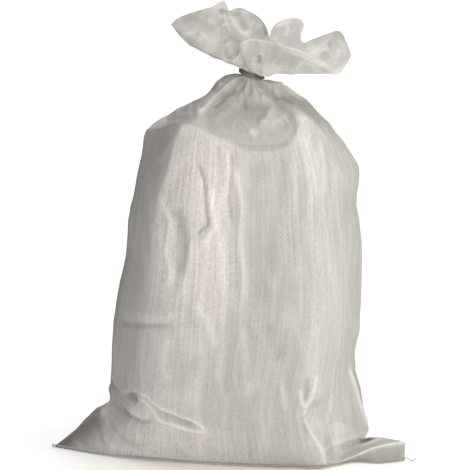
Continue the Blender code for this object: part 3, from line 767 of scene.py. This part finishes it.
def load_mesh():
    """The lumpy load, a little smaller than the cloth round it."""
    columns, rows = 120, 60
    bottom, shoulder = 0.004, 0.75
    rings = []
    for row in range(rows):
        up = row / (rows - 1)
        ring = []
        for column in range(columns):
            around = column / columns * GIRTH
            side = 0 if around <= WIDE else 1
            share = (around if side == 0 else GIRTH - around) / WIDE
            rim = float(np.interp(share, (FRONT_AT, BACK_AT)[side], (RIM_FRONT, RIM_BACK)[side])) - 0.008
            height = mix(bottom, rim, min(up / shoulder, 1))
            place = on_body(side, share, height)
            lump = 0.5 + 0.5 * noise.noise(Vector((place[0], place[1], height)) * 34)
            place = place * (1 - (load_inset(side, share, height) + 0.003 * lump) / np.linalg.norm(place))
            if up > shoulder:
                inward = (up - shoulder) / (1 - shoulder)
                place = place * (1 - inward) ** 0.9
                height += 0.028 * math.sin(inward * math.pi / 2) + 0.004 * lump * inward
            ring.append((place[0], place[1], height))
        rings.append(ring)
    points = [point for ring in rings[:-1] for point in ring]
    top = len(points)
    points.append(tuple(np.mean(rings[-1], axis=0)))
    points.append((0.0, 0.0, bottom))
    faces = ring_faces(rows - 1, columns)
    last = (rows - 2) * columns
    for column in range(columns):
        after = (column + 1) % columns
        faces.append((last + column, last + after, top))
        faces.append((after, column, top + 1))
    mesh = bpy.data.meshes.new("rubble_load")
    mesh.from_pydata(points, [], faces)
    mesh.shade_smooth()
    return mesh


def tube(path, radius, sides):
    """The points and faces of a closed tube along a path."""
    path = np.asarray(path, float)
    ahead = np.gradient(path, axis=0)
    ahead /= np.linalg.norm(ahead, axis=1)[:, None]
    across = np.cross(ahead[0], (0.0, 0.0, 1.0))
    if np.linalg.norm(across) < 1e-6:
        across = np.array((1.0, 0.0, 0.0))
    points = []
    for place, along in zip(path, ahead):
        across = across - along * (across @ along)
        across /= np.linalg.norm(across)
        other = np.cross(along, across)
        for side in range(sides):
            turn = 2 * math.pi * side / sides
            points.append(place + radius * (math.cos(turn) * across + math.sin(turn) * other))
    faces = ring_faces(len(path), sides)
    faces.append(tuple(range(sides))[::-1])
    faces.append(tuple((len(path) - 1) * sides + side for side in range(sides)))
    return points, faces


def joined(name, parts):
    """One mesh from several lists of points and faces."""
    points, faces = [], []
    for some_points, some_faces in parts:
        start = len(points)
        points.extend(tuple(map(float, point)) for point in some_points)
        faces.extend(tuple(start + corner for corner in face) for face in some_faces)
    mesh = bpy.data.meshes.new(name)
    mesh.from_pydata(points, [], faces)
    mesh.shade_smooth()
    return mesh


def tie_mesh():
    """Two strands twisted together and wound round the neck."""
    count = 620
    turn = np.linspace(0, 1, count)
    angle = 2 * math.pi * TIE_TURNS * turn + 1.9
    band = TIE_CORD * (TIE_TURNS - 1)
    wander = 0.0004 * np.sin(5 * angle + 1.0) + 0.0003 * np.sin(9.7 * angle)
    ends = 1 - smooth(0, 0.03, turn) * smooth(0, 0.03, 1 - turn)
    reach = NECK_RADIUS + PLEAT + 0.0018 + 0.0004 * np.sin(3.3 * angle) - 0.0016 * ends
    level = neck_level(angle, -band / 2 + band * turn + wander)
    middle = np.stack([NECK[0] + reach * np.cos(angle), NECK[1] + reach * np.sin(angle), level], axis=1)
    out = np.stack([np.cos(angle), np.sin(angle), np.zeros(count)], axis=1)
    up = np.array((0.0, 0.0, 1.0))
    twist = angle * NECK_RADIUS / STRAND_PITCH * 2 * math.pi
    parts = []
    for strand in (0, math.pi):
        aside = np.cos(twist + strand)[:, None] * out + np.sin(twist + strand)[:, None] * up
        parts.append(tube(middle + STRAND_OFFSET * aside, STRAND_RADIUS, 8))
    return joined("twine_tie", parts)


def thread_mesh():
    """Stitches along the bottom seam, with a short loose tail at each corner."""
    distance = np.linspace(0.002, 0.598, 600)
    line = seam_point(distance)
    ahead = np.gradient(line, axis=0)
    ahead /= np.linalg.norm(ahead, axis=1)[:, None]
    front = np.stack([ahead[:, 1], -ahead[:, 0]], axis=1)
    wave = 2 * math.pi * distance / STITCH
    place = line + front * (0.0032 + 0.0004 * np.sin(wave))[:, None]
    path = np.column_stack([place, 0.0052 + 0.0005 * np.cos(wave)])
    left_tail = resampled([*LEFT_TAIL, path[0]], 24)[:-1]
    right_tail = resampled([path[-1], *RIGHT_TAIL], 24)[1:]
    path = np.concatenate([left_tail, path, right_tail])
    path[:, 2] = np.maximum(path[:, 2], 0.0009)
    return joined("seam_stitches", [tube(path, THREAD_RADIUS, 6)])


def new_material(name):
    made = bpy.data.materials.new(name)
    made.use_nodes = True
    return made, made.node_tree, made.node_tree.nodes["Principled BSDF"]


def node(tree, kind, **settings):
    made = tree.nodes.new(kind)
    for key, value in settings.items():
        setattr(made, key, value)
    return made


def feed(tree, value, socket):
    """Link a node's output to a socket, or set the socket to a number or a colour."""
    if hasattr(value, "is_linked"):
        tree.links.new(value, socket)
    else:
        socket.default_value = (*value, 1) if isinstance(value, tuple) else value


def math_node(tree, operation, *values, clamp=False):
    made = node(tree, "ShaderNodeMath", operation=operation, use_clamp=clamp)
    for slot, value in enumerate(values):
        feed(tree, value, made.inputs[slot])
    return made.outputs[0]


def product(tree, first, second, clamp=False):
    return math_node(tree, "MULTIPLY", first, second, clamp=clamp)


def graded(tree, value, factor, offset, clamp=False):
    """value * factor + offset."""
    return math_node(tree, "MULTIPLY_ADD", value, factor, offset, clamp=clamp)


def blend_node(tree, share, first, second):
    made = node(tree, "ShaderNodeMix", data_type="RGBA")
    for slot, value in ((0, share), (6, first), (7, second)):
        feed(tree, value, made.inputs[slot])
    return made.outputs[2]


def bump_node(tree, height, distance, strength=1.0):
    made = node(tree, "ShaderNodeBump")
    made.inputs["Distance"].default_value = distance
    feed(tree, strength, made.inputs["Strength"])
    tree.links.new(height, made.inputs["Height"])
    return made.outputs[0]


def noise_node(tree, vector, scale, detail):
    made = node(tree, "ShaderNodeTexNoise")
    made.inputs["Scale"].default_value = scale
    made.inputs["Detail"].default_value = detail
    feed(tree, vector, made.inputs["Vector"])
    return made.outputs[0]


def scaled(tree, vector, scale):
    made = node(tree, "ShaderNodeMapping")
    made.inputs["Scale"].default_value = scale
    feed(tree, vector, made.inputs["Vector"])
    return made.outputs[0]


def woven_material():
    """White polypropylene tape woven flat, thin enough to let light through."""
    made, tree, shader = new_material("woven_polypropylene")
    uv = node(tree, "ShaderNodeUVMap", uv_map="cloth").outputs[0]
    parts = node(tree, "ShaderNodeSeparateXYZ")
    feed(tree, uv, parts.inputs[0])
    along = product(tree, parts.outputs[0], 1 / TAPE)
    up = product(tree, parts.outputs[1], 1 / TAPE)
    wave_x = math_node(tree, "SINE", product(tree, along, math.pi))
    wave_y = math_node(tree, "SINE", product(tree, up, math.pi))
    over = graded(tree, product(tree, wave_x, wave_y), 1.6, 0.5, clamp=True)
    round_x = math_node(tree, "ABSOLUTE", wave_x)
    round_y = math_node(tree, "ABSOLUTE", wave_y)
    under = math_node(tree, "SUBTRACT", 1.0, over)
    weave = math_node(tree, "ADD", product(tree, over, round_x), product(tree, under, round_y))
    warp = node(tree, "ShaderNodeTexWhiteNoise", noise_dimensions="1D")
    feed(tree, math_node(tree, "FLOOR", along), warp.inputs["W"])
    crossing = node(tree, "ShaderNodeTexWhiteNoise", noise_dimensions="2D")
    cell = node(tree, "ShaderNodeCombineXYZ")
    feed(tree, math_node(tree, "FLOOR", along), cell.inputs[0])
    feed(tree, math_node(tree, "FLOOR", up), cell.inputs[1])
    feed(tree, cell.outputs[0], crossing.inputs["Vector"])
    streak = noise_node(tree, scaled(tree, uv, (190, 9, 1)), 1.0, 4.0)
    cloud = noise_node(tree, scaled(tree, uv, (14, 9, 1)), 1.0, 3.0)
    backed, check, pale, dark = (
        node(tree, "ShaderNodeAttribute", attribute_name=name).outputs["Fac"]
        for name in ("backed", "checked", "pale", "dark")
    )
    woven = product(tree, product(tree, round_x, graded(tree, check, -0.6, 1.0)), WEAVE_LINES)
    woven = graded(tree, product(tree, over, check), WEAVE_CHECK, woven)
    woven = graded(tree, warp.outputs[0], WEAVE_TAPES, woven)
    woven = graded(tree, crossing.outputs[0], WEAVE_CROSSINGS, woven)
    tone = graded(tree, streak, 1.5, graded(tree, cloud, 0.7, -1.1))
    tone = math_node(tree, "ADD", tone, math_node(tree, "SUBTRACT", woven, WEAVE_MEAN))
    tone = graded(tree, tone, graded(tree, backed, 0.42, 0.32), 0.5, clamp=True)
    warm = blend_node(tree, tone, (0.575, 0.548, 0.530), (0.950, 0.905, 0.870))
    # thin: a darker, greyer copy of the colour for cloth that the load does not back: painted shade
    thin = blend_node(tree, tone, (0.420, 0.415, 0.388), (0.600, 0.595, 0.562))
    color = blend_node(tree, backed, thin, warm)
    # paler and darker: painted highlights and painted shade, from the pale and dark attributes
    paler = product(tree, pale, graded(tree, tone, 0.75, 0.45), clamp=True)
    darker = product(tree, dark, 0.6)
    color = blend_node(tree, paler, color, (0.93, 0.91, 0.875))
    color = blend_node(tree, darker, color, (0.21, 0.205, 0.19))
    feed(tree, color, shader.inputs["Base Color"])
    feed(tree, graded(tree, streak, 0.16, 0.32), shader.inputs["Roughness"])
    shader.inputs["Specular IOR Level"].default_value = 0.5
    height = graded(tree, streak, 1.2, graded(tree, warp.outputs[0], 0.5, weave))
    bump = bump_node(tree, height, 0.0003, graded(tree, backed, 0.45, 0.12))
    feed(tree, bump, shader.inputs["Normal"])
    glow = node(tree, "ShaderNodeBsdfTranslucent")
    let_through = blend_node(tree, tone, (0.58, 0.57, 0.535), (0.80, 0.785, 0.755))
    # The light let through is dimmed where shade is painted, and a quarter as much where highlights are
    # painted, the hem's real double layer among them
    doubled_and_painted_shade = math_node(tree, "MAXIMUM", darker, product(tree, pale, 0.25))
    feed(tree, blend_node(tree, doubled_and_painted_shade, let_through, (0.25, 0.245, 0.23)), glow.inputs["Color"])
    feed(tree, bump, glow.inputs["Normal"])
    both = node(tree, "ShaderNodeMixShader")
    feed(tree, graded(tree, backed, -0.30, 0.42), both.inputs[0])
    feed(tree, shader.outputs[0], both.inputs[1])
    feed(tree, glow.outputs[0], both.inputs[2])
    feed(tree, both.outputs[0], tree.nodes["Material Output"].inputs["Surface"])
    return made


def twine_material():
    """Brown hairy twine."""
    made, tree, shader = new_material("brown_twine")
    place = node(tree, "ShaderNodeTexCoord").outputs["Object"]
    fibre = noise_node(tree, place, 900, 4)
    patch = noise_node(tree, place, 120, 2)
    tone = graded(tree, fibre, 0.8, graded(tree, patch, 0.9, -0.35), clamp=True)
    color = blend_node(tree, tone, (0.11, 0.085, 0.048), (0.36, 0.305, 0.20))
    feed(tree, color, shader.inputs["Base Color"])
    feed(tree, graded(tree, fibre, 0.2, 0.7), shader.inputs["Roughness"])
    feed(tree, bump_node(tree, fibre, 0.0004, 0.7), shader.inputs["Normal"])
    return made


def thread_material():
    """Pale sewing thread, coloured as dark as the cloth in shade at the seam: painted shade."""
    made, tree, shader = new_material("thread_painted_shade")
    place = node(tree, "ShaderNodeTexCoord").outputs["Object"]
    fibre = noise_node(tree, place, 1400, 3)
    # The thread's colour is dimmed to the cloth's shade at the seam: painted shade
    color = blend_node(tree, fibre, (0.26, 0.25, 0.23), (0.44, 0.43, 0.40))
    feed(tree, color, shader.inputs["Base Color"])
    feed(tree, graded(tree, fibre, 0.2, 0.55), shader.inputs["Roughness"])
    return made


def rubble_material():
    """Broken stone and brick dust."""
    made, tree, shader = new_material("rubble")
    place = node(tree, "ShaderNodeTexCoord").outputs["Object"]
    stones = node(tree, "ShaderNodeTexVoronoi")
    stones.inputs["Scale"].default_value = 34
    feed(tree, place, stones.inputs["Vector"])
    gaps = stones.outputs["Distance"]
    dust = noise_node(tree, place, 60, 6)
    stone = blend_node(tree, dust, (0.34, 0.30, 0.26), (0.62, 0.58, 0.52))
    color = blend_node(tree, product(tree, gaps, 0.8), stone, (0.20, 0.18, 0.16))
    feed(tree, color, shader.inputs["Base Color"])
    feed(tree, graded(tree, dust, 0.1, 0.85), shader.inputs["Roughness"])
    feed(tree, bump_node(tree, gaps, 0.004), shader.inputs["Normal"])
    return made


def paper_material():
    """Pale studio paper."""
    made, tree, shader = new_material("pale_paper")
    cloud = noise_node(tree, node(tree, "ShaderNodeTexCoord").outputs["Object"], 3, 3)
    color = blend_node(tree, cloud, (0.88, 0.88, 0.88), (0.92, 0.92, 0.92))
    feed(tree, color, shader.inputs["Base Color"])
    shader.inputs["Roughness"].default_value = 0.9
    shader.inputs["Specular IOR Level"].default_value = 0.2
    return made


def build_sack():
    """The four pieces, each on the part's one body and in place of its solid."""
    sack = add("sack_cloth", cloth_mesh(*shaped(cloth_points())))
    sack.data.materials.append(woven_material())
    load = add("rubble_load", load_mesh())
    load.data.materials.append(rubble_material())
    tie = add("twine_tie", tie_mesh())
    tie.data.materials.append(twine_material())
    thread = add("seam_stitches", thread_mesh())
    thread.data.materials.append(thread_material())
    for piece, stands_for, finish in (
        (sack, "sack", "woven_plastic"),
        (load, "rubble_fill", "rubble"),
        (tie, "neck_tie", "twine"),
        (thread, "seam_thread", "sewing_thread"),
    ):
        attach(piece, "root")
        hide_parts(stands_for)


def build_camera():
    """A camera in front, a little above, that looks down at the photograph's angle."""
    tilt = CAMERA_TILT
    view = np.array((0, math.cos(tilt), -math.sin(tilt)))
    camera = bpy.data.objects.new("camera", bpy.data.cameras.new("camera"))
    camera.location = np.array(CAMERA_AIM) - view * CAMERA_DISTANCE
    camera.rotation_euler = (math.pi / 2 - tilt, 0, 0)
    camera.data.lens = CAMERA_LENS
    camera.data.sensor_width = 36
    bpy.context.scene.collection.objects.link(camera)
    bpy.context.scene.camera = camera


def softbox(name, place, aim, size, power, color=(1, 1, 1)):
    """A flat rectangular lamp that faces its aim."""
    data = bpy.data.lights.new(name, "AREA")
    data.shape = "RECTANGLE"
    data.size, data.size_y = size
    data.energy = power
    data.color = color
    light = bpy.data.objects.new(name, data)
    light.location = place
    x, y, z = np.array(aim) - np.array(place)
    light.rotation_euler = (math.atan2(math.hypot(x, y), -z), 0, math.atan2(y, x) - math.pi / 2)
    bpy.context.scene.collection.objects.link(light)


def build_stage():
    """A pale sheet along the floor and up behind, soft lamps in front and above, and one for the sheet."""
    profile = [(SHEET_FRONT, 0.0), (SHEET_BEND, 0.0)]
    for step in range(1, 13):
        turn = math.pi / 2 * step / 12
        rise = SHEET_RADIUS - SHEET_RADIUS * math.cos(turn)
        profile.append((SHEET_BEND + SHEET_RADIUS * math.sin(turn), rise))
    profile.append((SHEET_BEND + SHEET_RADIUS, SHEET_TOP))
    points = [(x, y, z) for y, z in profile for x in (-SHEET_HALF, SHEET_HALF)]
    faces = [(2 * k, 2 * k + 1, 2 * k + 3, 2 * k + 2) for k in range(len(profile) - 1)]
    mesh = bpy.data.meshes.new("studio_sweep")
    mesh.from_pydata(points, [], faces)
    mesh.shade_smooth()
    sweep = add("studio_sweep", mesh)
    mesh.materials.append(paper_material())
    world = bpy.data.worlds.new("studio")
    world.use_nodes = True
    background = world.node_tree.nodes["Background"]
    background.inputs["Color"].default_value = (1, 1, 1, 1)
    background.inputs["Strength"].default_value = 0.10
    bpy.context.scene.world = world
    bpy.context.scene.view_settings.view_transform = "Standard"
    softbox("front_lamp", (0.15, -2.6, 1.7), (0, 0, 0.35), (0.9, 0.9), 48, (1.0, 0.955, 0.935))
    softbox("right_lamp", (2.2, -1.0, 1.3), (0, 0, 0.35), (0.9, 1.3), 20, (0.97, 1.0, 0.82))
    softbox("top_lamp", (0.3, 0.6, 3.0), (0, 0.6, 0), (2.4, 2.4), 85)
    softbox("wall_lamp", (0.0, 2.9, 2.9), (0, 4.3, 0.9), (3.2, 0.8), 62)


build_sack()
build_camera()
build_stage()
